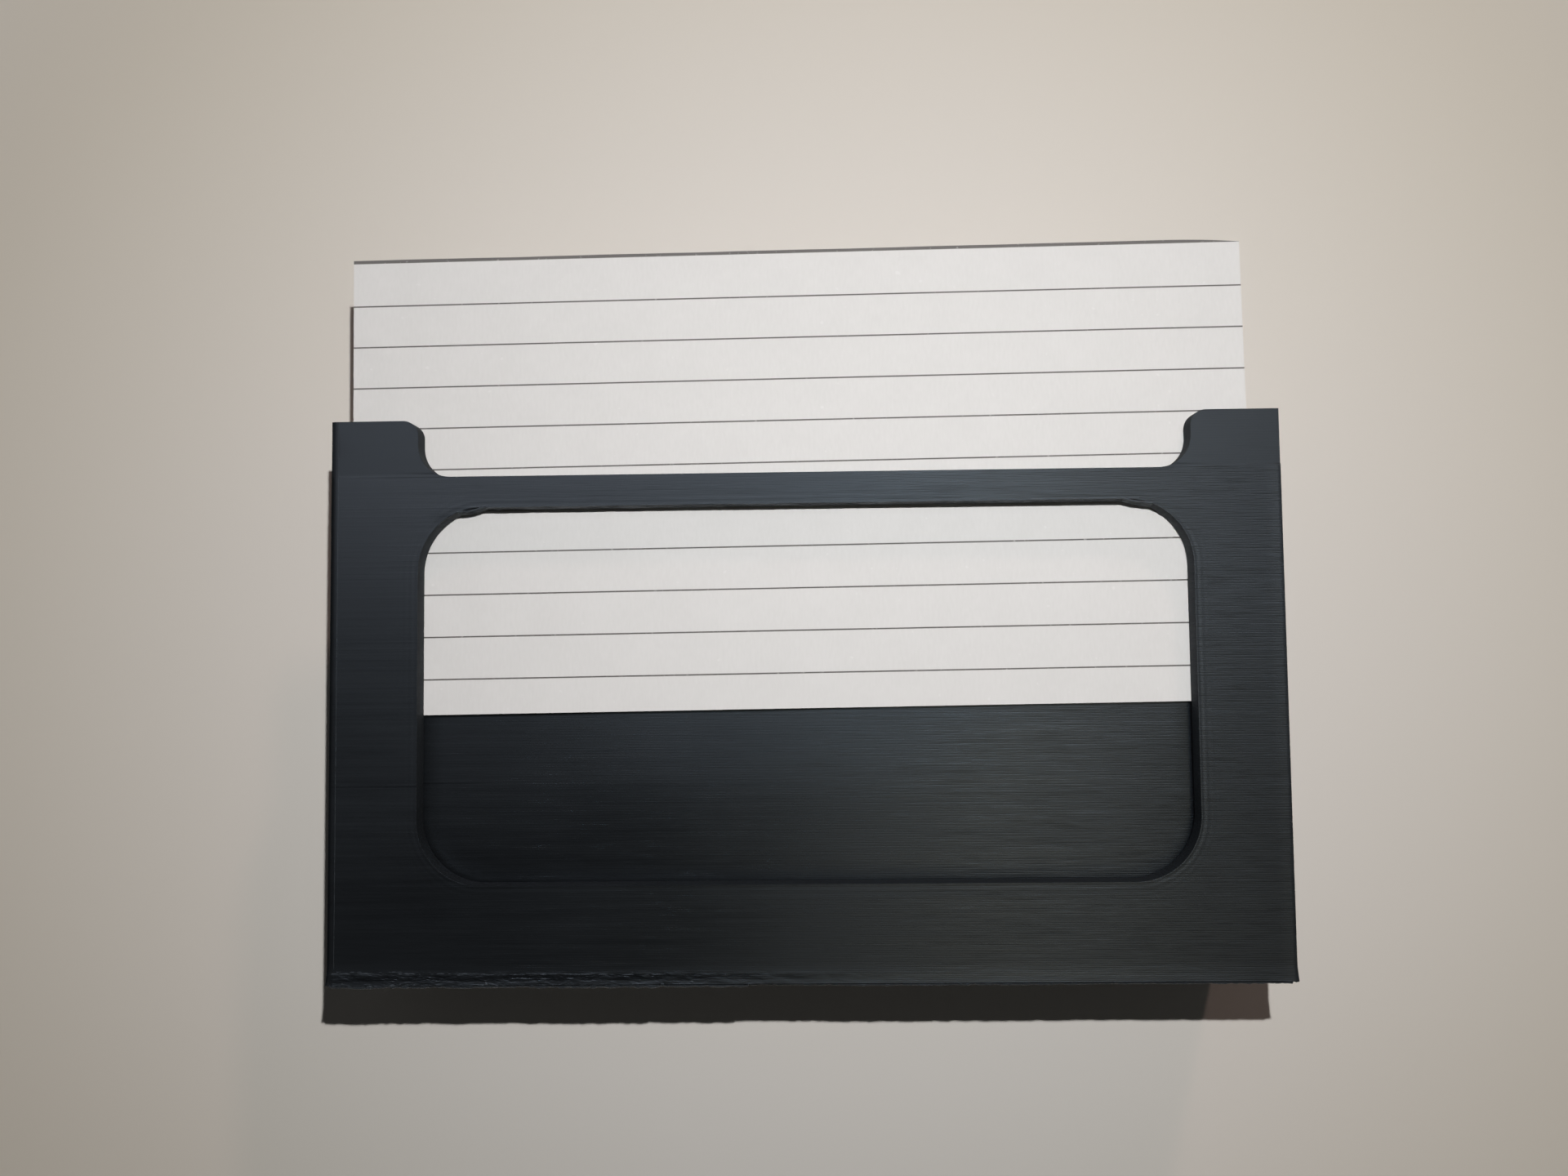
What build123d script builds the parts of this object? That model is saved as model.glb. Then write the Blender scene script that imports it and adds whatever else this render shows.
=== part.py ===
from build123d import *
import os

# Lengths are in millimetres. The holder lies on its back wall, as on a desk:
# +X is right, +Y points out of the card mouth and +Z points out of the window.
# The origin is the middle of the back face.

# Ruled cards
card_width = 127.0
card_height = 65.5
card_thickness = 0.25
card_side_clearance = 1.2
card_gap = 0.08

# Printed walls, from the back to the front
back_wall = 1.6
deck_bay_depth = 22.8
divider_wall = 1.6
display_gap = 1.0
front_plate = 3.0

# Printed side walls and floor
side_wall = 1.2
floor_wall = 1.6
holder_height = 77.9

# Window in the front plate
frame_side = 12.2
frame_bottom = 13.35
bar_height = 4.75
window_round = 9.0

# Finger notch across the mouth, with an ear on each side
ear_width = 12.2
ear_round = 2.15
notch_depth = 7.95
notch_round = 4.5

# Display card, drawn half out of its slot
display_lift = 35.5
display_tilt = 0.5
display_shift_share = -0.55

# Deck in the rear bay: each card lies a little to one side, as a share of its clearance
deck_shift_shares = (0.25, -0.4, 0.1, -0.15, 0.45, -0.3, 0.05, -0.5)

# Every cut runs this far past the faces that it opens
overrun = 2.0

# Overall sizes and the planes that the pieces share
inner_width = card_width + 2 * card_side_clearance
holder_width = inner_width + 2 * side_wall
display_slot_z = back_wall + deck_bay_depth + divider_wall
front_plate_z = display_slot_z + display_gap
holder_depth = front_plate_z + front_plate
bottom_y = -holder_height / 2
mouth_y = holder_height / 2
floor_y = bottom_y + floor_wall
notch_floor_y = mouth_y - notch_depth
notch_width = holder_width - 2 * ear_width
window_bottom_y = bottom_y + frame_bottom
window_width = holder_width - 2 * frame_side
window_height = notch_floor_y - bar_height - window_bottom_y

os.makedirs("parts", exist_ok=True)


# Printed holder: a block with two bays open at the mouth, a window and a finger notch
with BuildPart() as printed_holder:
    with BuildSketch(Plane.XY):
        Rectangle(holder_width, holder_height)
    extrude(amount=holder_depth)
    # Deep bay for the deck
    with BuildSketch(Plane.XY.offset(back_wall)):
        with Locations((0, floor_y)):
            Rectangle(inner_width, mouth_y - floor_y + overrun, align=(Align.CENTER, Align.MIN))
    extrude(amount=deck_bay_depth, mode=Mode.SUBTRACT)
    # Narrow slot for the card on show
    with BuildSketch(Plane.XY.offset(display_slot_z)):
        with Locations((0, floor_y)):
            Rectangle(inner_width, mouth_y - floor_y + overrun, align=(Align.CENTER, Align.MIN))
    extrude(amount=display_gap, mode=Mode.SUBTRACT)
    # Window through the front plate alone
    with BuildSketch(Plane.XY.offset(front_plate_z)):
        with Locations((0, window_bottom_y)):
            RectangleRounded(window_width, window_height, window_round, align=(Align.CENTER, Align.MIN))
    extrude(amount=front_plate + overrun, mode=Mode.SUBTRACT)
    # Finger notch through the back wall, the divider and the front plate
    with BuildSketch(Plane.XY.offset(-overrun)) as notch:
        with Locations((0, notch_floor_y)):
            Rectangle(notch_width, notch_depth + overrun, align=(Align.CENTER, Align.MIN))
        fillet(notch.vertices().group_by(Axis.Y)[0], radius=notch_round)
    extrude(amount=holder_depth + 2 * overrun, mode=Mode.SUBTRACT)
    # The ears' inner top corners are rounded over
    mouth_edges = printed_holder.edges().filter_by(Axis.Z).group_by(Axis.Y)[-1]
    ear_corners = mouth_edges.filter_by(lambda edge: abs(edge.center().X) < (notch_width + ear_width) / 2)
    fillet(ear_corners, radius=ear_round)
printed_holder.part.label = "printed_holder"
export_step(printed_holder.part, "parts/printed_holder.step")


# Display card: a ruled card in the middle of the narrow slot, a little askew
display_plane = Plane(
    origin=(
        display_shift_share * card_side_clearance,
        floor_y + display_lift + card_height / 2,
        display_slot_z + (display_gap - card_thickness) / 2,
    ),
    x_dir=Vector(1, 0, 0).rotate(Axis.Z, display_tilt),
    z_dir=(0, 0, 1),
)
with BuildPart() as display_card:
    with BuildSketch(display_plane):
        Rectangle(card_width, card_height)
    extrude(amount=card_thickness)
display_card.part.label = "display_card"
export_step(display_card.part, "parts/display_card.step")


# Deck cards: like cards stacked on the back wall, their lower edges on the bay's floor
for number, shift_share in enumerate(deck_shift_shares):
    deck_card_z = back_wall + card_gap + number * (card_thickness + card_gap)
    deck_card_name = f"deck_card_{number + 1:02d}"
    with BuildPart() as deck_card:
        with BuildSketch(Plane.XY.offset(deck_card_z)):
            with Locations((shift_share * card_side_clearance, floor_y + card_gap)):
                Rectangle(card_width, card_height, align=(Align.CENTER, Align.MIN))
        extrude(amount=card_thickness)
    deck_card.part.label = deck_card_name
    export_step(deck_card.part, f"parts/{deck_card_name}.step")
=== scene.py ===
import math

import bmesh
import bpy
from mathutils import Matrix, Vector


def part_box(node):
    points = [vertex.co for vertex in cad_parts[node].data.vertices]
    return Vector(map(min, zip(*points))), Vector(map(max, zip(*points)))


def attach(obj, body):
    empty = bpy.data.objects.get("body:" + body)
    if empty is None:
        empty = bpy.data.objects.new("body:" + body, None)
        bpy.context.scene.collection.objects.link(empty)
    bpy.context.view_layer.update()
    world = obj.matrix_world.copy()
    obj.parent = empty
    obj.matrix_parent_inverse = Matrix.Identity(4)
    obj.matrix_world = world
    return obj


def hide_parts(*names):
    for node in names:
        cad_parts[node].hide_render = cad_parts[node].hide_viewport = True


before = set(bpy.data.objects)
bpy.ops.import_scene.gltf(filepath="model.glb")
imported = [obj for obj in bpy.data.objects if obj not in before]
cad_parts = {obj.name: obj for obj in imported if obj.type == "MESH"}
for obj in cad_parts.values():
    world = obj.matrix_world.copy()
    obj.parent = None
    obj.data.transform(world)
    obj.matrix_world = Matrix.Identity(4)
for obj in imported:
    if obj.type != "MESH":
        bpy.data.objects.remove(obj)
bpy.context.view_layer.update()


# Printed holder: front plate, divider, back, floor and side walls, all one black print.
# It was printed standing on its floor, so its layers run round the walls one above the other.
# The short layers of the ears came out smoother than the long ones below the finger notch.
mm = 0.001
holder_low, holder_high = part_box("printed_holder")
half_width = holder_high.x
front_z = holder_high.z
wall = 1.6 * mm
side_wall = 1.2 * mm
deck_bay_depth = 22.8 * mm
display_gap = 1.0 * mm
front_plate = 3.0 * mm
frame_side = 12.2 * mm
frame_bottom = 13.35 * mm
window_round = 9.0 * mm
bar_height = 4.75 * mm
bridge_lift = 0.4 * mm
notch_depth = 7.95 * mm
notch_round = 4.5 * mm
ear_round = 2.15 * mm
edge_round = 0.15 * mm
level_edge_round = 0.05 * mm
edge_steps = 3
arc_steps = 18
overrun = 2.0 * mm
weld_gap = 0.001 * mm
sharp_angle = math.radians(35)
flat_angle = math.radians(0.5)
layer_height = 0.24 * mm
hull_line_y = 31.2 * mm
hull_fade_below = 0.1 * mm
hull_fade_above = 0.2 * mm
weak_layer_y = -11.95 * mm
left_corner = 0.95 * mm
right_corner = 2.3 * mm
plate_face = (front_z - 1.0 * mm, front_z - 0.5 * mm)
inner_half = half_width - frame_side
notch_floor_y = holder_high.y - notch_depth
bar_low_y = notch_floor_y - bar_height + bridge_lift
window_low_y = holder_low.y + frame_bottom
window_middle_y = (window_low_y + bar_low_y) / 2
window_half_y = (bar_low_y - window_low_y) / 2


class Wire:
    """An output of a node: sums on it add Math nodes to its board."""

    def __init__(self, board, socket):
        self.board = board
        self.socket = socket

    def maths(self, operation, *others):
        return self.board.add("ShaderNodeMath", {"operation": operation}, self, *others)

    def __add__(self, other):
        return self.maths("ADD", other)

    def __sub__(self, other):
        return self.maths("SUBTRACT", other)

    def __rsub__(self, other):
        return self.board.add("ShaderNodeMath", {"operation": "SUBTRACT"}, other, self)

    def __mul__(self, other):
        return self.maths("MULTIPLY", other)

    def __truediv__(self, other):
        return self.maths("DIVIDE", other)

    __radd__ = __add__
    __rmul__ = __mul__

    def ease(self, start, end):
        """0 at start, 1 at end, with a smooth step between."""
        return self.board.add(
            "ShaderNodeMapRange", {"interpolation_type": "SMOOTHSTEP"}, self, start, end, 0.0, 1.0)

    def near(self, start, end):
        """1 up to start on either side of zero, and 0 past end."""
        return 1 - self.maths("ABSOLUTE").ease(start, end)

    def part(self, name):
        """Another output of the same node."""
        return Wire(self.board, self.socket.node.outputs[name])

    def parts(self):
        """X, Y and Z of a vector."""
        split = self.board.add("ShaderNodeSeparateXYZ", {}, self)
        return split, split.part("Y"), split.part("Z")


class Board:
    """A node tree whose nodes all come from one method."""

    def __init__(self, tree):
        self.tree = tree

    def put(self, socket, value):
        """Sets a socket, or links it to a wire or to each wire of a list."""
        for one in value if isinstance(value, list) else [value]:
            if isinstance(one, Wire):
                self.tree.links.new(one.socket, socket)
            else:
                socket.default_value = one

    def add(self, kind, settings, *values, **named):
        """A new node: its settings, then its sockets in their order or by name."""
        node = self.tree.nodes.new(kind)
        for name, setting in settings.items():
            setattr(node, name, setting)
        ready = [socket for socket in node.inputs if socket.enabled]
        for socket, value in zip(ready, values):
            self.put(socket, value)
        for name, value in named.items():
            self.put(next(socket for socket in ready if socket.name == name.replace("_", " ")), value)
        given = [socket for socket in node.outputs if socket.enabled]
        return Wire(self, given[0]) if given else None

    def vector(self, x, y, z):
        return self.add("ShaderNodeCombineXYZ", {}, x, y, z)

    def vectors(self, operation, *values, **named):
        return self.add("ShaderNodeVectorMath", {"operation": operation}, *values, **named)

    def noise(self, place, detail=2.0, roughness=0.5):
        return self.add("ShaderNodeTexNoise", {}, Vector=place, Scale=1.0, Detail=detail, Roughness=roughness)

    def chance(self, number, seed):
        """A random value for each number."""
        return self.add(
            "ShaderNodeTexWhiteNoise", {"noise_dimensions": "2D"}, self.vector(number, seed, 0.0))

    def blend(self, factor, first, second):
        """Two colours mixed, each of them a wire or its red, green and blue."""
        colours = [one if isinstance(one, Wire) else (*one, 1.0) for one in (first, second)]
        return self.add("ShaderNodeMix", {"data_type": "RGBA"}, factor, *colours)

    def mark(self, shape, name, value, kind="FLOAT", domain="FACE"):
        """Keeps a value on a shape for its material to read."""
        return self.add(
            "GeometryNodeStoreNamedAttribute", {"data_type": kind, "domain": domain}, shape,
            Name=name, Value=value)

    def marked(self, name, output="Fac"):
        """Reads in a material what a tree kept on its shape."""
        return self.add("ShaderNodeAttribute", {"attribute_name": name}).part(output)


def surface_board(name):
    """A new material's board and the shader that its nodes feed."""
    material = bpy.data.materials.new(name)
    material.use_nodes = True
    return material, Board(material.node_tree), material.node_tree.nodes["Principled BSDF"].inputs


def shape_board(name, **inputs):
    """A geometry tree's board and its inputs as wires, given as name = socket kind."""
    tree = bpy.data.node_groups.new(name, "GeometryNodeTree")
    tree.interface.new_socket("Geometry", in_out="OUTPUT", socket_type="NodeSocketGeometry")
    tree.interface.new_socket("Geometry", in_out="INPUT", socket_type="NodeSocketGeometry")
    for label, kind in inputs.items():
        tree.interface.new_socket(label.replace("_", " "), in_out="INPUT", socket_type="NodeSocket" + kind)
    board = Board(tree)
    start = board.add("NodeGroupInput", {})
    return board, [start] + [start.part(label.replace("_", " ")) for label in inputs]


def shape_end(board, shape, material):
    """Every tree ends in plain faces with their material."""
    real = board.add("GeometryNodeRealizeInstances", {}, shape)
    done = board.add("GeometryNodeSetMaterial", {}, real, Material=material)
    board.add("NodeGroupOutput", {}, done)


def set_down(name, data):
    """A new object of the scene."""
    piece = bpy.data.objects.new(name, data)
    bpy.context.scene.collection.objects.link(piece)
    return piece


def settle(piece, modifier):
    """Turns a piece into the plain mesh that its modifier makes."""
    made = piece.evaluated_get(bpy.context.evaluated_depsgraph_get())
    mesh = bpy.data.meshes.new_from_object(made)
    piece.modifiers.remove(modifier)
    piece.data = mesh
    return mesh


def grown(name, board, start=None, **sizes):
    """A plain mesh piece, made once by a geometry tree from its named sizes."""
    piece = set_down(name, start or bpy.data.meshes.new(name))
    growth = piece.modifiers.new("growth", "NODES")
    growth.node_group = board.tree
    for socket in board.tree.interface.items_tree:
        size_name = socket.name.replace(" ", "_")
        if socket.in_out == "INPUT" and size_name in sizes:
            growth[socket.identifier] = sizes[size_name]
    mesh = settle(piece, growth)
    mesh.shade_smooth()
    mesh.set_sharp_from_angle(angle=sharp_angle)
    return piece


def window_rings(x, y, z):
    """Faint rings on the plate round its window, where the print head shook after each turn."""
    ring_pitch = 0.85 * mm
    ring_fade = 0.9 * mm
    ring_start = 0.2 * mm
    over_x = (x.maths("ABSOLUTE") - (inner_half - window_round)).maths("MAXIMUM", 0.0)
    from_middle = (y - window_middle_y).maths("ABSOLUTE")
    over_y = (from_middle - (window_half_y - window_round)).maths("MAXIMUM", 0.0)
    away = (over_x * over_x + over_y * over_y).maths("SQRT") - window_round
    rings = (away * (math.tau / ring_pitch)).maths("COSINE") * (away / -ring_fade).maths("EXPONENT")
    return rings * away.ease(0.0, ring_start) * z.ease(*plate_face)


def print_plastic():
    """Satin black plastic: streaks along each layer, a fine grain and smoother ears."""
    material, board, shader = surface_board("black_print")
    x, y, z = board.add("ShaderNodeTexCoord", {}).part("Object").parts()
    from_foot = y - holder_low.y

    def flow(along, up, detail=2.0, roughness=0.5):
        """Noise that runs along the walls: its scale along them, and its place up them."""
        return board.noise(board.vector(x * along, up, z * along), detail, roughness)

    # How the plastic ran: in each layer, in bands of layers, in patches and in its grain
    layer = (from_foot / layer_height).maths("FLOOR")
    across = from_foot / layer_height - layer
    streak = flow(70, layer * 7.31, detail=4.0, roughness=0.65)
    thread = flow(260, layer * 3.17, detail=3.0)
    band = flow(14, y * 1000, detail=3.0, roughness=0.6)
    patch = flow(45, y * 60)
    grain = flow(5200, y * 7000)
    lump = flow(300, y * 1100, detail=3.0, roughness=0.6).ease(0.36, 0.66)

    # Where it differs: the ears, behind the plate, one weak layer on the left, the foot and the gap above it
    plate_back = (front_z - 3.9 * mm, front_z - 3.2 * mm)
    weak_edge, weak_end = (0.04 * mm, 0.15 * mm), (-62.0 * mm, -38.0 * mm)
    foot_edge, foot_end = (1.3 * mm, 2.1 * mm), (-24.0 * mm, 12.0 * mm)
    gap_rise, gap_edge, gap_end = 1.05 * mm, (0.25 * mm, 0.5 * mm), (-4.0 * mm, 30.0 * mm)
    right_share = 0.8
    ear = y.ease(hull_line_y - hull_fade_below, hull_line_y + hull_fade_above)
    below_ear = 1 - ear
    inside = 1 - z.ease(*plate_back)
    weak = (y - weak_layer_y).near(*weak_edge) * (1 - x.ease(*weak_end))
    foot = (1 - from_foot.ease(*foot_edge)) * (1 - x.ease(*foot_end) * right_share)
    gap = (from_foot - gap_rise).near(*gap_edge) * (1 - x.ease(*gap_end) * right_share) * (1 - lump * 0.6)
    upright = board.marked("upright")
    drawn = board.marked("drawn") * (lump * 0.4 + 0.6)

    # Colour: worn a little paler in patches, and paler grey on the strands and brim residue: partly the real
    # whitening of drawn-out plastic, partly painted light that lifts the threads under the bar where they lie
    # in shade
    fresh_black, worn_black = (0.0028, 0.0033, 0.0041), (0.0048, 0.0056, 0.0068)
    whitened_and_painted_light_grey = (0.108, 0.129, 0.155)
    gloss_tint = (0.78, 0.89, 1.0, 1.0)
    wear_span = (0.34, 0.72)
    wear = (streak * 0.4 + patch * 0.6).ease(*wear_span)
    colour = board.blend(drawn, board.blend(wear, fresh_black, worn_black), whitened_and_painted_light_grey)

    # Roughness: smoother on the window's low rim, in the gap and in a sleek patch low on the left
    satin, ear_rough, upright_rough = 0.46, 0.05, 0.34
    streak_rough, band_rough, patch_rough = 0.12, 0.12, 0.06
    inside_gloss, rim_gloss, weak_gloss, gap_gloss, sleek_gloss = 0.04, 0.2, 0.1, 0.16, 0.07
    rim_top, rim_foot = (-18.0 * mm, -8.0 * mm), (-34.0 * mm, -30.0 * mm)
    rim_end = (55.0 * mm, 57.0 * mm)
    sleek_x, sleek_y, sleek_half_x, sleek_half_y = -32.0 * mm, -28.0 * mm, 30.0 * mm, 16.0 * mm
    low_rim = (1 - y.ease(*rim_top)) * y.ease(*rim_foot) * x.near(*rim_end)
    left_x = (x - sleek_x) / sleek_half_x
    left_y = (y - sleek_y) / sleek_half_y
    sleek = 1 - (left_x * left_x + left_y * left_y).maths("SQRT").ease(0.3, 1.3)
    rough = satin + (streak - 0.5) * below_ear * streak_rough + (band - 0.5) * below_ear * band_rough \
        + (patch - 0.5) * patch_rough + ear * ear_rough \
        + upright * (upright_rough - low_rim * rim_gloss) \
        - inside * inside_gloss - weak * weak_gloss - gap * gap_gloss - sleek * sleek_gloss

    # Relief, in millimetres: tilted and crowned layers, strongest on the right, and the divider's slight warp
    streak_tilt, thread_tilt, crown_height, crown_change = 0.034, 0.03, 0.002, 0.006
    grain_height, ring_height, lump_height, warp_height = 0.0025, 0.008, 0.05, 0.66
    line_least, line_left, line_right, ear_evenness = 0.2, 0.6, 1.8, 0.7
    left_lines, right_lines = (-62.0 * mm, -30.0 * mm), (-10.0 * mm, 45.0 * mm)
    right_rings = (0.0, 40.0 * mm)
    warp_x, warp_half, warp_rise = -6.0 * mm, (8.0 * mm, 38.0 * mm), (-16.0 * mm, 4.0 * mm)
    divider_face = (front_z - 5.0 * mm, front_z - 4.4 * mm)
    tilt = (across - 0.5) * ((streak - 0.5) * streak_tilt + (thread - 0.5) * thread_tilt)
    crown = (across * math.pi).maths("SINE") * (thread * crown_change + crown_height)
    lines = x.ease(*left_lines) * line_left + x.ease(*right_lines) * line_right + line_least
    rings = window_rings(x, y, z) * (x.ease(*right_rings) + 1)
    warp = y.ease(*warp_rise) * (x - warp_x).near(*warp_half) * inside * z.ease(*divider_face)
    height = (tilt + crown) * (1 - ear * ear_evenness) * lines + grain * grain_height + rings * ring_height \
        + foot * lump * lump_height - warp * warp_height
    board.put(shader["Base Color"], colour)
    board.put(shader["Roughness"], rough)
    board.put(shader["Normal"], board.add("ShaderNodeBump", {}, Strength=1.0, Distance=mm, Height=height))
    shader["Specular Tint"].default_value = gloss_tint
    return material


def layer_relief():
    """The tree that presses the layers' joints, the hull line and the worn corners into the walls."""
    board, (walls, pitch, groove, uneven, hull, hull_step, left, left_drop, right, right_drop,
            foot, flare, seed, material) = shape_board(
        "layer_relief", Layer="Float", Groove="Float", Uneven="Float", Hull_Line="Float", Hull_Step="Float",
        Left_Corner="Float", Left_Drop="Float", Right_Corner="Float", Right_Drop="Float",
        Foot="Float", Flare="Float", Seed="Float", Material="Material")
    ear_evenness = 0.85
    off_the_back = (-0.8, -0.4)
    to_the_front = (0.3, 0.6)
    x, y, z = board.add("GeometryNodeInputPosition", {}).parts()
    out_x, _, out_z = board.add("GeometryNodeInputNormal", {}).parts()
    from_foot = y - holder_low.y
    count = from_foot / pitch
    joint = (count * math.tau).maths("COSINE") * 0.5 + 0.5
    chance = board.chance(count.maths("FLOOR"), seed)
    ear = y.ease(hull - hull_fade_below, hull + hull_fade_above)
    spread = (1 - (from_foot / foot).maths("MINIMUM", 1.0)) * out_z.ease(*off_the_back)
    relief = (joint * groove + (1 - joint) * chance * uneven) * (1 - ear * ear_evenness) + ear * hull_step \
        - spread * spread * flare
    left_share = ((left - half_width - x) / left).maths("MAXIMUM", 0.0)
    right_share = ((x - half_width + right) / right).maths("MAXIMUM", 0.0)
    front = out_z.ease(*to_the_front) * z.ease(*plate_face)
    drop = front * (
        left_share * left_share * left_drop + right_share * right_share * right_drop * (1 - ear))
    shift = board.vector(out_x * relief * -1, 0.0, out_z * relief * -1 - drop)
    pressed = board.add("GeometryNodeSetPosition", {}, walls, Offset=shift)
    shape_end(board, board.mark(pressed, "upright", 1 - out_z.maths("ABSOLUTE")), material)
    return board


def flat_faces(piece):
    """Keeps the large faces flat up to the rounded edges beside them."""
    weights = piece.modifiers.new("weights", "WEIGHTED_NORMAL")
    weights.keep_sharp = True
    weights.weight = 60
    settle(piece, weights)


def arc(middle_x, middle_y, radius, start, end):
    """Points of an arc between two angles in degrees."""
    turns = [math.radians(start + (end - start) * step / arc_steps) for step in range(arc_steps + 1)]
    return [(middle_x + radius * math.cos(turn), middle_y + radius * math.sin(turn)) for turn in turns]


def both_sides(right_half):
    """An outline from its right half, which runs from the middle round to the middle."""
    return right_half + [(-x, y) for x, y in reversed(right_half)]


def oblong(half, low_y, high_y):
    return both_sides([(half, low_y), (half, high_y)])


def prism(name, outline, low_z, high_z):
    """A closed mesh object with straight sides on an outline."""
    shape = bmesh.new()
    face = shape.faces.new([shape.verts.new((x, y, low_z)) for x, y in outline])
    raised = bmesh.ops.extrude_face_region(shape, geom=[face])["geom"]
    corners = [one for one in raised if isinstance(one, bmesh.types.BMVert)]
    bmesh.ops.translate(shape, vec=(0, 0, high_z - low_z), verts=corners)
    bmesh.ops.recalc_face_normals(shape, faces=shape.faces)
    mesh = bpy.data.meshes.new(name)
    shape.to_mesh(mesh)
    shape.free()
    return set_down(name, mesh)


def holder_block():
    """The holder's block with its two bays, its window and its finger notch cut out."""
    block = prism("holder_block", oblong(half_width, holder_low.y, holder_high.y), holder_low.z, front_z)
    plate_z = front_z - front_plate
    slot_z = plate_z - display_gap
    mouth = oblong(half_width - side_wall, holder_low.y + wall, holder_high.y + overrun)
    corner_x = inner_half - window_round
    window = both_sides(
        arc(corner_x, window_low_y + window_round, window_round, -90, 0)
        + arc(corner_x, bar_low_y - window_round, window_round, 0, 90))
    notch = both_sides(
        arc(inner_half - notch_round, notch_floor_y + notch_round, notch_round, -90, 0)
        + arc(inner_half + ear_round, holder_high.y - ear_round, ear_round, 180, 90)
        + [(inner_half + ear_round, holder_high.y + overrun)])
    cutters = [
        prism("deck_bay", mouth, wall, wall + deck_bay_depth),
        prism("display_slot", mouth, slot_z, plate_z),
        prism("window", window, plate_z - display_gap / 2, front_z + overrun),
        prism("finger_notch", notch, holder_low.z - overrun, front_z + overrun)]
    for cutter in cutters:
        cut = block.modifiers.new(cutter.name, "BOOLEAN")
        cut.operation = "DIFFERENCE"
        cut.object = cutter
        cut.solver = "EXACT"
    made = block.evaluated_get(bpy.context.evaluated_depsgraph_get())
    walls = bmesh.new()
    walls.from_mesh(made.data)
    for spent in [block, *cutters]:
        bpy.data.objects.remove(spent)
    return walls


def rounded(walls, level, radius):
    """Rounds the outer edges that run across the print, or all the others."""
    nearly_all = 0.99
    outer = []
    for edge in walls.edges:
        first, last = edge.verts
        runs_across = abs(first.co.x - last.co.x) > edge.calc_length() * nearly_all
        if edge.is_convex and edge.calc_face_angle(0.0) > sharp_angle and runs_across == level:
            outer.append(edge)
    bmesh.ops.bevel(
        walls, geom=outer, offset=radius, offset_type="OFFSET", segments=edge_steps, profile=0.5,
        affect="EDGES", clamp_overlap=True)


def sliced(walls, axis, places):
    """Cuts a mesh across at each place along an axis, from low to high."""
    on_plane = 1e-8
    past_plane = 1e-7
    ahead = list(walls.faces)
    for place in places:
        edges = dict.fromkeys(edge for face in ahead for edge in face.edges)
        corners = dict.fromkeys(corner for edge in edges for corner in edge.verts)
        cut = bmesh.ops.bisect_plane(
            walls, geom=[*corners, *edges, *ahead], dist=on_plane, plane_co=axis * place, plane_no=axis)
        ahead = [
            face for face in cut["geom"] if isinstance(face, bmesh.types.BMFace)
            and max(corner.co.dot(axis) for corner in face.verts) > place + past_plane]


def holder_walls():
    """The holder's block with its outer edges rounded, cut at every layer's joint and crest."""
    walls = holder_block()
    bmesh.ops.remove_doubles(walls, verts=walls.verts, dist=weld_gap)
    bmesh.ops.dissolve_limit(walls, angle_limit=flat_angle, verts=walls.verts, edges=walls.edges)
    rounded(walls, False, edge_round)
    rounded(walls, True, level_edge_round)
    left_cuts = [share * left_corner - half_width for share in (0.5, 0.75, 1.0)]
    right_cuts = [half_width - share * right_corner for share in (1.0, 0.75, 0.5, 0.25)]
    sliced(walls, Vector((1, 0, 0)), left_cuts + right_cuts)
    steps = int((holder_high.y - holder_low.y) / layer_height * 2)
    layer_cuts = [holder_low.y + layer_height * step / 2 for step in range(1, steps + 1)]
    sliced(walls, Vector((0, 1, 0)), layer_cuts)
    mesh = bpy.data.meshes.new("holder_walls")
    walls.to_mesh(mesh)
    walls.free()
    return mesh


black_print = print_plastic()
holder_print = grown(
    "holder_print", layer_relief(), holder_walls(), Layer=layer_height, Groove=0.011 * mm, Uneven=0.006 * mm,
    Hull_Line=hull_line_y, Hull_Step=0.04 * mm, Left_Corner=left_corner, Left_Drop=0.2 * mm,
    Right_Corner=right_corner, Right_Drop=-0.08 * mm, Foot=3.0 * mm, Flare=0.22 * mm, Seed=3.0,
    Material=black_print)
flat_faces(holder_print)
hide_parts("printed_holder")
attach(holder_print, "holder")


# Bridge strands: the threads of plastic drawn through the air under the bar, from arch to arch.
# They belong to the print, sag a little between the arches and hang lowest where they start.
bridge_reach = 46.4 * mm
bridge_y = bar_low_y + 0.15 * mm
bridge_slope = 0.05 * mm
strand_radius = 0.08 * mm
strand_step = 0.15 * mm
strand_count = 20
first_strand_z = front_z - strand_radius
droop_outer_x = 48.2 * mm
droop_inner_x = 44.0 * mm
droop_start_y = bar_low_y - 0.6 * mm
close_together = 0.05
far_apart = 9.7


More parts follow.
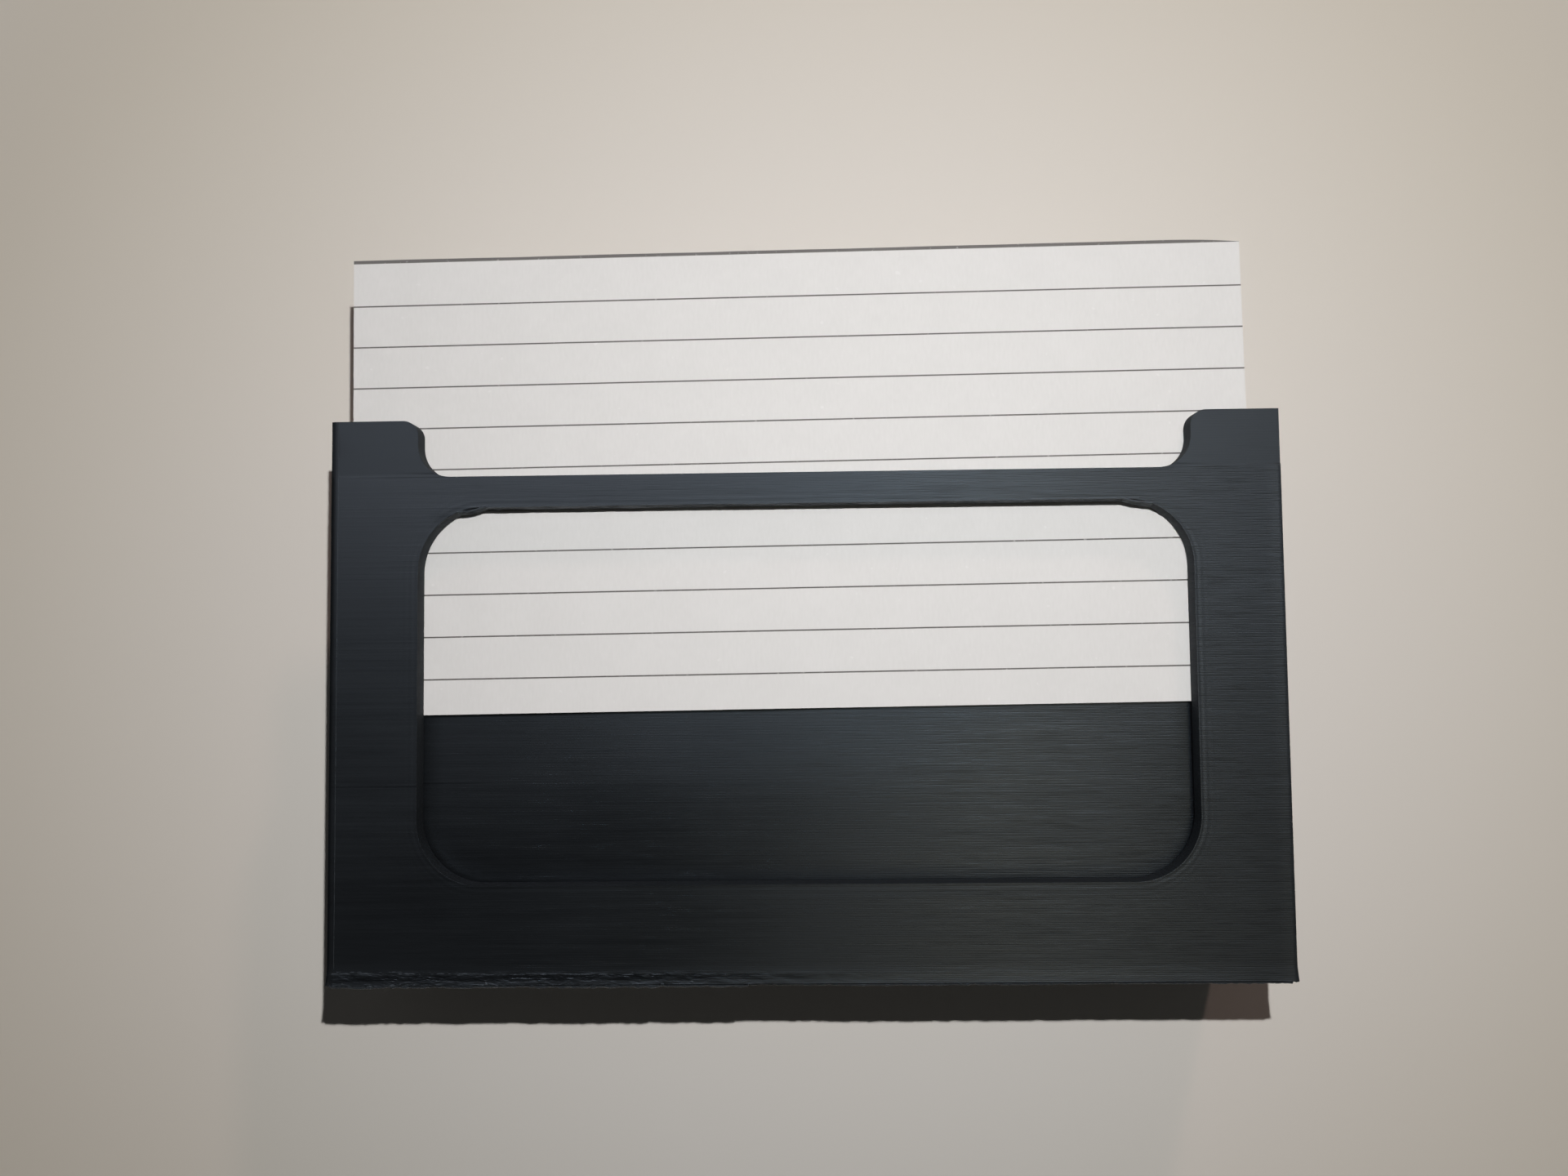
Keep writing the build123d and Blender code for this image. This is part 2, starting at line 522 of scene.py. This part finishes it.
def strand_bundle():
    """The tree for threads that run side by side from one point to another, sagging and wandering."""
    board, (_, start, end, count, step, points, radius, sag, reach, wander, wave, apart, matte, whiten_and_paint_light, seed,
            material) = shape_board(
        "strand_bundle", Start="Vector", End="Vector", Strands="Int", Step="Vector", Points="Int",
        Radius="Float", Sag="Vector", Sag_Reach="Float", Wander="Vector", Wave="Float", Apart="Float",
        Matte="Float", Whiten="Float", Seed="Float", Material="Material")
    line = board.add("GeometryNodeCurvePrimitiveLine", {}, Start=start, End=end)
    line = board.add("GeometryNodeResampleCurve", {}, line, Count=points)
    copies = board.add("GeometryNodeDuplicateElements", {"domain": "SPLINE"}, line, Amount=count)
    number = copies.part("Duplicate Index")
    along = board.add("GeometryNodeSplineParameter", {})
    waves = along.part("Length") / wave
    inner = along.ease(0.0, reach) * (1 - along).ease(0.0, reach)
    slack = board.chance(number, seed) * 0.7 + 0.3
    swell = board.noise(board.vector(waves * 3, number * 3.1, seed + 5.0)) * 0.8 + 0.6
    sway = board.noise(board.vector(waves, number * apart, seed), 3.0, 0.6).part("Color")
    sway = board.vectors("MULTIPLY", board.vectors("SUBTRACT", sway, (0.5, 0.5, 0.5)), wander)
    hang = board.vectors("SCALE", sag, Scale=inner * slack)
    beside = board.vectors("SCALE", step, Scale=number)
    shift = board.vectors("ADD", board.vectors("ADD", sway, hang), beside)
    threads = board.add("GeometryNodeSetPosition", {}, copies, Offset=shift)
    ring = board.add("GeometryNodeCurvePrimitiveCircle", {}, Resolution=8, Radius=1.0)
    tubes = board.add("GeometryNodeCurveToMesh", {}, threads, ring, Scale=radius * swell, Fill_Caps=True)
    tubes = board.mark(tubes, "upright", matte)
    # The strands' paler grey is partly real whitening of drawn-out plastic and partly painted light, as each
    # call sets it.
    shape_end(board, board.mark(tubes, "drawn", whiten_and_paint_light), material)
    return board


strand_tree = strand_bundle()


def print_strands(name, **sizes):
    """Loose ends or beads of the print, which move with the holder."""
    piece = grown(name, strand_tree, Material=black_print, **sizes)
    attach(piece, "holder")


# Under the bar and in the arches, the strands' pale grey is painted light: it stands in for the light that
# the card bounces up onto them.
print_strands(
    "bridge_strands", Strands=strand_count, Points=160, Radius=strand_radius, Step=(0.0, 0.0, -strand_step),
    Start=(-bridge_reach, bridge_y - bridge_slope, first_strand_z),
    End=(bridge_reach, bridge_y, first_strand_z),
    Sag=(0.0, -0.05 * mm, 0.0), Sag_Reach=0.03, Wander=(0.0, 0.32 * mm, 0.05 * mm), Wave=6.0 * mm,
    Apart=close_together, Matte=-0.2, Whiten=0.6, Seed=4.0)
for name, side, drop, seed in (
        ("arch_droops_left", -1, 0.26 * mm, 2.0),
        ("arch_droops_right", 1, 0.18 * mm, 8.0)):
    print_strands(
        name, Strands=7, Points=24, Radius=0.12 * mm, Step=(side * 0.1 * mm, -0.03 * mm, -0.4 * mm),
        Start=(side * droop_outer_x, droop_start_y, first_strand_z),
        End=(side * droop_inner_x, bridge_y, first_strand_z),
        Sag=(0.0, -drop, 0.0), Sag_Reach=0.5, Wander=(0.3 * mm, 0.3 * mm, 0.1 * mm), Wave=1.6 * mm,
        Apart=far_apart, Matte=-0.2, Whiten=0.5, Seed=seed)


# Brim residue and seam: what is left of the print's brim along its lower edges, torn off by hand,
# and the ridge of bead ends down the left edge where each layer starts and stops.
brim_y = holder_low.y - 0.1 * mm
brim_runs = (
    (-65.5 * mm, -8.0 * mm, 0.1 * mm, 0.4 * mm, 1.0),
    (-65.2 * mm, -6.0 * mm, 1.75 * mm, 0.17 * mm, 5.0),
    (-24.0 * mm, 26.0 * mm, 0.25 * mm, 0.36 * mm, 7.0),
    (5.0 * mm, 65.2 * mm, 0.05 * mm, 0.28 * mm, 9.0))
seam_x = left_corner - half_width
seam_z = front_z - 0.06 * mm
seam_low_y = holder_low.y + 0.6 * mm
seam_high_y = holder_high.y - 0.4 * mm

for number, (first_x, last_x, rise, radius, seed) in enumerate(brim_runs, start=1):
    print_strands(
        f"brim_residue_{number}", Strands=2, Points=260, Radius=radius,
        Step=(0.7 * mm, 0.25 * mm, -0.04 * mm),
        Start=(first_x, brim_y + rise, front_z - radius * 0.55),
        End=(last_x, brim_y + rise * 0.8, front_z - radius * 0.7),
        Sag=(0.0, 0.0, -0.03 * mm), Sag_Reach=0.02, Wander=(0.4 * mm, radius * 1.9, radius * 1.3),
        Wave=1.5 * mm, Apart=far_apart, Matte=0.3, Whiten=0.16, Seed=seed)
print_strands(
    "seam_ridge", Strands=1, Points=320, Radius=0.07 * mm, Step=(0.0, 0.0, 0.0),
    Start=(seam_x, seam_low_y, seam_z), End=(seam_x, seam_high_y, seam_z),
    Sag=(0.0, 0.0, 0.0), Sag_Reach=0.01, Wander=(0.1 * mm, 0.0, 0.06 * mm), Wave=1.1 * mm, Apart=far_apart,
    Matte=0.3, Whiten=0.1, Seed=6.0)


# Ruled cards: stiff white card stock, 5 inches wide and trimmed along the header rule.
# Grey rules are printed on the front alone. One card is on show, and a small deck lies behind it.
card_low, card_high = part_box("deck_card_01")
card_width = card_high.x - card_low.x
card_height = card_high.y - card_low.y
card_thickness = card_high.z - card_low.z
card_columns = 97
card_rows = 41
rule_first = 4.96 * mm
rule_step = 5.977 * mm
rule_width = 0.2 * mm
rules_end = (60.0 * mm, 60.1 * mm)
header_start = 65.03 * mm
header_blur = 0.03 * mm
display_turn = math.radians(0.5)
display_settle = 0.04 * mm
deck_count = 8


def card_stock():
    """White stock with faint fibres, bright flecks painted in as glints of its sheen, grey rules and the
    header rule that the cut runs along.
    """
    grey_stock, white_stock = (0.715, 0.715, 0.710), (0.755, 0.755, 0.752)
    painted_glint_white = (0.82, 0.82, 0.82)
    ink_grey = (0.105, 0.098, 0.092)
    matte, tone_rough, fleck_gloss = 0.62, 0.08, 0.1
    fibre_height, cloud_height = 0.006, 0.01
    material, board, shader = surface_board("card_paper")
    u, v, _ = board.marked("card_place", "Vector").parts()

    def mottle(per_u, per_v, slice_z, detail):
        return board.noise(board.vector(u * per_u, v * per_v, slice_z), detail)

    fibre = mottle(2600, 700, 0.0, detail=3.0)
    cloud = mottle(160, 160, 2.0, detail=3.0)
    sheen_fleck = mottle(900, 900, 7.0, detail=1.0).ease(0.72, 0.80)
    tone = (fibre * 0.5 + cloud * 0.5).ease(0.25, 0.75)
    # The bright flecks are painted glints: paler colour where the paper's sheen catches, with a smoother
    # surface there too.
    paper = board.blend(sheen_fleck * 0.5, board.blend(tone, grey_stock, white_stock), painted_glint_white)

    count = (v - rule_first) / rule_step
    off = (count - (count + 0.5).maths("FLOOR")).maths("ABSOLUTE") * rule_step
    rule = (1 - off.ease(rule_width * 0.36, rule_width * 0.64)) * (1 - v.ease(*rules_end))
    header = v.ease(header_start - header_blur, header_start + header_blur)
    skip = mottle(1500, 1500, 0.0, detail=2.0).ease(0.16, 0.40) * 0.5 + 0.5
    ink = (rule + header * 0.95).maths("MINIMUM", 1.0) * skip * board.marked("ruled_face")

    height = fibre * fibre_height + cloud * cloud_height
    board.put(shader["Base Color"], board.blend(ink, paper, ink_grey))
    board.put(shader["Roughness"], matte - sheen_fleck * fleck_gloss + (tone - 0.5) * tone_rough)
    board.put(shader["Normal"], board.add("ShaderNodeBump", {}, Strength=1.0, Distance=mm, Height=height))
    return material


def card_sheet():
    """The tree for one card: a sheet with a wavering cut edge, a droop, a bow and a slight ripple."""
    board, (_, width, height, thick, droop, bow, ripple, waver, corner_dip, corner_reach, middle, turn, seed,
            material) = shape_board(
        "card_sheet", Width="Float", Height="Float", Thickness="Float", Droop="Float", Bow="Float",
        Ripple="Float", Waver="Float", Corner_Dip="Float", Corner_Reach="Float", Middle="Vector",
        Turn="Vector", Seed="Float", Material="Material")
    sheet = board.add("GeometryNodeMeshGrid", {}, width, height, card_columns, card_rows)
    x, y, _ = board.add("GeometryNodeInputPosition", {}).parts()
    across = x / width * 2
    up = y / height + 0.5
    cut = (board.noise(board.vector(x * 45, seed, 0.0), 3.0) - 0.5) * waver
    corner = (x - width * 0.5 + corner_reach).maths("MAXIMUM", 0.0) / corner_reach
    cut = (cut - corner * corner * corner_dip) * up.ease(0.8, 1.0)
    sheet = board.add("GeometryNodeSetPosition", {}, sheet, Offset=board.vector(0.0, cut, 0.0))
    place = board.vector(x + width * 0.5, y + height * 0.5, 0.0)
    sheet = board.mark(sheet, "card_place", place, kind="FLOAT_VECTOR", domain="POINT")
    lift = (0.5 - up.ease(-0.15, 1.15)) * droop + (1 - across * across) * bow
    lift = lift + (board.noise(board.vector(x * 28, y * 9, seed + 3.0), 1.0) - 0.5) * ripple
    sheet = board.add("GeometryNodeSetPosition", {}, sheet, Offset=board.vector(0.0, 0.0, lift))
    front = board.add(
        "GeometryNodeExtrudeMesh", {}, sheet, Offset=(0.0, 0.0, 1.0), Offset_Scale=thick, Individual=False)
    front_face = front.part("Top")
    back = board.add("GeometryNodeFlipFaces", {}, sheet)
    front = board.mark(front, "ruled_face", front_face)
    whole = board.add("GeometryNodeJoinGeometry", {}, [front, back])
    whole = board.add("GeometryNodeMergeByDistance", {}, whole, Distance=weld_gap)
    turned = board.add("GeometryNodeTransform", {}, whole, Translation=middle, Rotation=turn)
    shape_end(board, turned, material)
    return board


card_paper = card_stock()
card_tree = card_sheet()


def dress_card(name, node, **sizes):
    """A card of the tree that stands for a solid card and moves as it does."""
    sheet = grown(
        name, card_tree, Width=card_width, Height=card_height, Thickness=card_thickness, Material=card_paper,
        **sizes)
    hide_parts(node)
    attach(sheet, node)


display_low, display_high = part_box("display_card")
display_middle = (display_low + display_high) / 2
dress_card(
    "ruled_card_on_show", "display_card", Droop=0.5 * mm, Bow=0.04 * mm, Ripple=0.08 * mm, Waver=0.28 * mm,
    Corner_Dip=0.42 * mm, Corner_Reach=9.0 * mm, Seed=2.0, Turn=(0.0, 0.0, display_turn),
    Middle=(display_middle.x, display_middle.y, display_low.z - display_settle))
for number in range(1, deck_count + 1):
    deck_low, deck_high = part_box(f"deck_card_{number:02d}")
    deck_middle = (deck_low + deck_high) / 2
    dress_card(
        f"ruled_card_in_deck_{number:02d}", f"deck_card_{number:02d}", Droop=0.0,
        Bow=(0.2 + 0.03 * number) * mm, Ripple=0.02 * mm, Waver=0.2 * mm, Corner_Dip=0.0,
        Corner_Reach=5.0 * mm, Seed=10.0 + number, Turn=(0.0, 0.0, 0.0),
        Middle=(deck_middle.x, deck_middle.y, deck_low.z))


# Stage: the pale, matte table top that the holder lies on.
# Further off, the camera sees it in the background's own colour, so that it has no edge.
floor_reach = 3.0
floor_z = -0.02 * mm
floor_colour = (0.83, 0.803, 0.765)
painted_warm_light_colour = (0.83, 0.785, 0.69)
backdrop_colour = (0.80, 0.78, 0.75)
painted_warm_light_span = (0.06, 0.17)
backdrop_span = (0.15, 0.33)
floor_mesh = bpy.data.meshes.new("table_top")
floor_mesh.from_pydata(
    [(x * floor_reach, y * floor_reach, floor_z) for x, y in ((-1, -1), (1, -1), (1, 1), (-1, 1))], [],
    [(0, 1, 2, 3)])
table_top = set_down("table_top", floor_mesh)


def background_seen(board):
    """1 for the rays that show the background: from the camera, or by way of gloss and glass."""
    ray = board.add("ShaderNodeLightPath", {})
    return (ray + ray.part("Is Glossy Ray") + ray.part("Is Transmission Ray")).maths("MINIMUM", 1.0)


def table_finish():
    """Matte warm white near the holder, turning yellower outwards as painted warm lamp light, and the
    background's own colour for the camera further off.
    """
    material, board, shader = surface_board("table_white")
    x, y, _ = board.add("ShaderNodeTexCoord", {}).part("Object").parts()
    mottle = board.noise(board.vector(x * 30, y * 30, 0.0), 3.0)
    reach = (x * x + y * y).maths("SQRT")
    # Towards the edges the colour turns yellower: painted warm light, for the lamp across the room where the
    # key lamp falls off. The mottle is the table's own.
    tone = reach.ease(*painted_warm_light_span) + mottle * 0.1
    board.put(shader["Base Color"], board.blend(tone, floor_colour, painted_warm_light_colour))
    shader["Roughness"].default_value = 0.7
    shader["Specular IOR Level"].default_value = 0.2
    share = reach.ease(*backdrop_span) * background_seen(board)
    glow = board.add("ShaderNodeEmission", {}, (*backdrop_colour, 1.0), 1.0)
    principled = Wire(board, material.node_tree.nodes["Principled BSDF"].outputs[0])
    output = material.node_tree.nodes["Material Output"]
    board.put(output.inputs["Surface"], board.add("ShaderNodeMixShader", {}, share, principled, glow))
    return material


floor_mesh.materials.append(table_finish())


# Light: one small lamp close above the table, to the right of the mouth, a warm one across the room
# and weak light from all round. Three panels at the lamp's height show in the plastic's gloss alone.
ambient_level = 0.023
ambient_colour = (1.0, 0.98, 0.95)
horizon_span = (0.12, 0.42)
lamp_height = 0.2257
gloss_panels = (
    ("top_panel", (-0.008, 0.09, lamp_height), (0.34, 0.02), 0.365, (0.94, 0.94, 1.0)),
    ("side_panel", (0.065, 0.0, lamp_height), (0.02, 0.34), 0.16, (1.0, 0.88, 0.66)),
    ("small_panel", (0.04, 0.053, lamp_height), (0.012, 0.012), 0.06, (0.6, 0.84, 1.0)))

world = bpy.data.worlds.new("studio")
bpy.context.scene.world = world
world.use_nodes = True
sky = Board(world.node_tree)
_, _, rise = sky.add("ShaderNodeTexCoord", {}).parts()
pale = background_seen(sky) * (1 - rise.ease(*horizon_span))
dim = sky.add("ShaderNodeBackground", {}, (*ambient_colour, 1.0), ambient_level)
bright = sky.add("ShaderNodeBackground", {}, (*backdrop_colour, 1.0), 1.0)
sky.put(world.node_tree.nodes["World Output"].inputs["Surface"],
        sky.add("ShaderNodeMixShader", {}, pale, dim, bright))


def lamp(name, kind, place, watts, colour, **shape):
    """A soft lamp that the camera doesn't see. Panels face straight down."""
    light = bpy.data.lights.new(name, kind)
    light.energy = watts
    light.color = colour
    for setting, value in shape.items():
        setattr(light, setting, value)
    stand = set_down(name, light)
    stand.location = place
    stand.visible_camera = False
    return stand


key_lamp = lamp(
    "key_lamp", "POINT", (0.0178, 0.053, lamp_height), 1.48, (1.0, 0.985, 0.97), shadow_soft_size=0.0014)
key_lamp.visible_glossy = False
lamp("room_lamp", "POINT", (0.32, 1.06, 0.466), 6.6, (1.0, 0.7, 0.6), shadow_soft_size=0.04)
for name, place, size, watts, colour in gloss_panels:
    panel = lamp(name, "AREA", place, watts, colour, shape="RECTANGLE", size=size[0], size_y=size[1])
    panel.visible_diffuse = False


# Camera: nearly straight above the holder, a little low and tilted, with a phone's usual lens.
# Its place was fitted to the outlines of the front, the window and the card.
camera_data = bpy.data.cameras.new("camera")
camera_data.sensor_width = 36.0
camera_data.lens = 27.04
camera_data.clip_start = 0.005
camera = set_down("camera", camera_data)
camera.location = (0.45 * mm, 6.13 * mm, 192.5 * mm)
camera.rotation_euler = (math.radians(3.07), math.radians(1.15), math.radians(-0.62))
bpy.context.scene.camera = camera
bpy.context.scene.view_settings.view_transform = "Standard"
